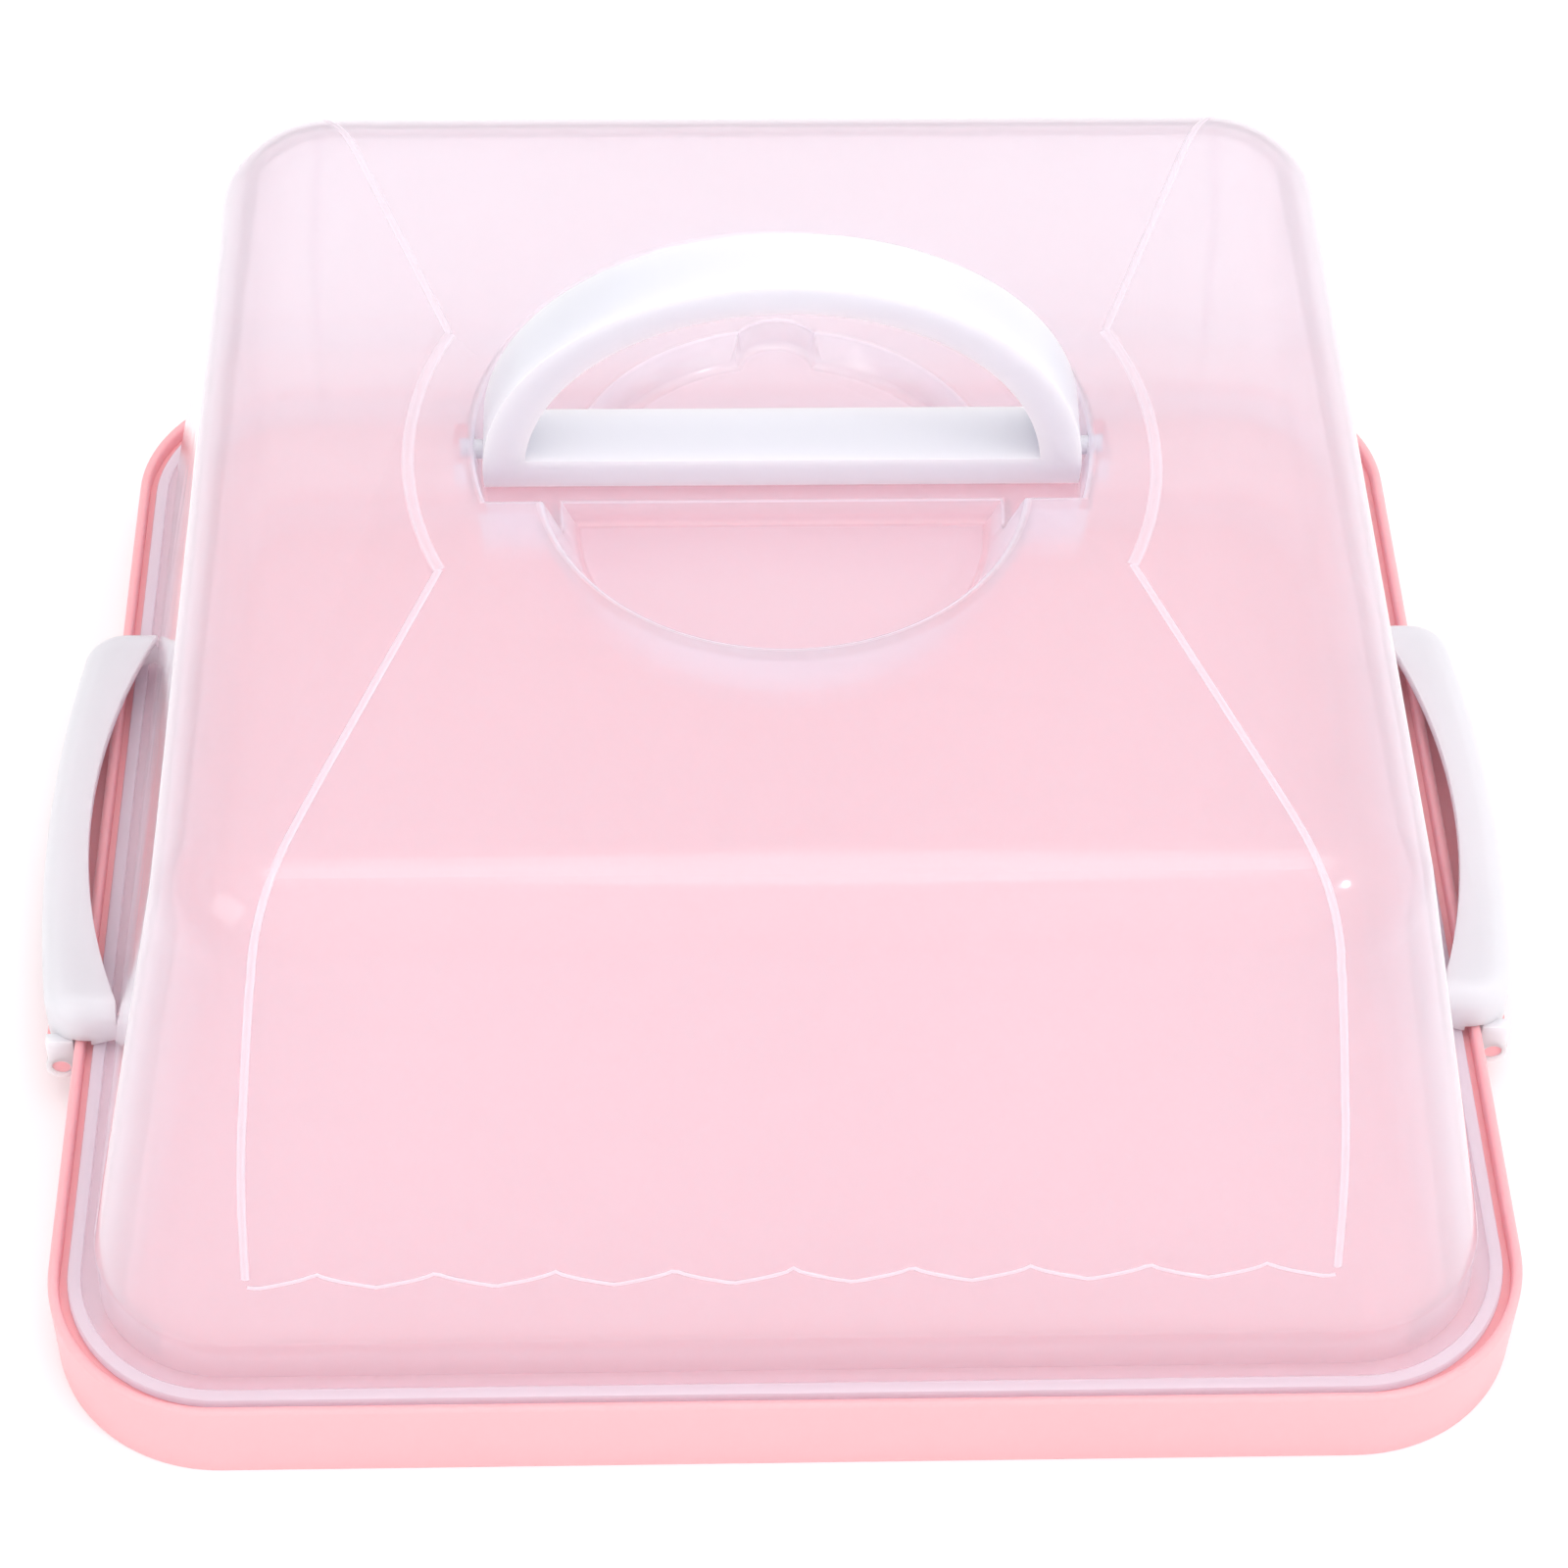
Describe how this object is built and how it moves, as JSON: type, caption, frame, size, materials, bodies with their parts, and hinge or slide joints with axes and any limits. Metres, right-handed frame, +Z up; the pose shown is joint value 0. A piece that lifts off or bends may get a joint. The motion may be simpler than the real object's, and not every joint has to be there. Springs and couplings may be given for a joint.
{
  "type": "cake carrier",
  "caption": "Square cake carrier: tray with an upstanding rim, clear domed lid that lifts off, fold-down carry handle sunk in the lid, hinged side clips over the lid flange.",
  "frame": {"origin": "centre of the tray's flat underside, on the table", "axes": "+X to the right-hand clip, -Y to the front that the carrier is looked at from, +Z up"},
  "size_m": [0.32, 0.3, 0.1932],
  "materials": {
    "tray_plastic": "pink moulded polypropylene, low sheen",
    "clear_plastic": "clear moulded plastic with a faint lavender cast",
    "white_plastic": "white moulded polypropylene, low sheen"
  },
  "bodies": {
    "tray": {"base_tray": "tray_plastic"},
    "lid": {"lid": "clear_plastic", "lid_flange": "clear_plastic"},
    "handle": {"carry_handle": "white_plastic"},
    "clip_l": {"clip_left": "white_plastic"},
    "clip_r": {"clip_right": "white_plastic"}
  },
  "joints": [
    {"name": "lid_lift", "type": "slide", "parent": "tray", "child": "lid", "axis": [0, 0, 1], "range_m": [0, 0.15]},
    {"name": "handle_fold", "type": "hinge", "parent": "lid", "child": "handle", "pos_m": [0, 0.0065, 0.1327], "axis": [-1, 0, 0], "range_deg": [0, 101]},
    {"name": "clip_left_hinge", "type": "hinge", "parent": "tray", "child": "clip_l", "pos_m": [-0.1536, 0, 0.012], "axis": [0, -1, 0], "range_deg": [0, 100]},
    {"name": "clip_right_hinge", "type": "hinge", "parent": "tray", "child": "clip_r", "pos_m": [0.1536, 0, 0.012], "axis": [0, 1, 0], "range_deg": [0, 100]}
  ]
}
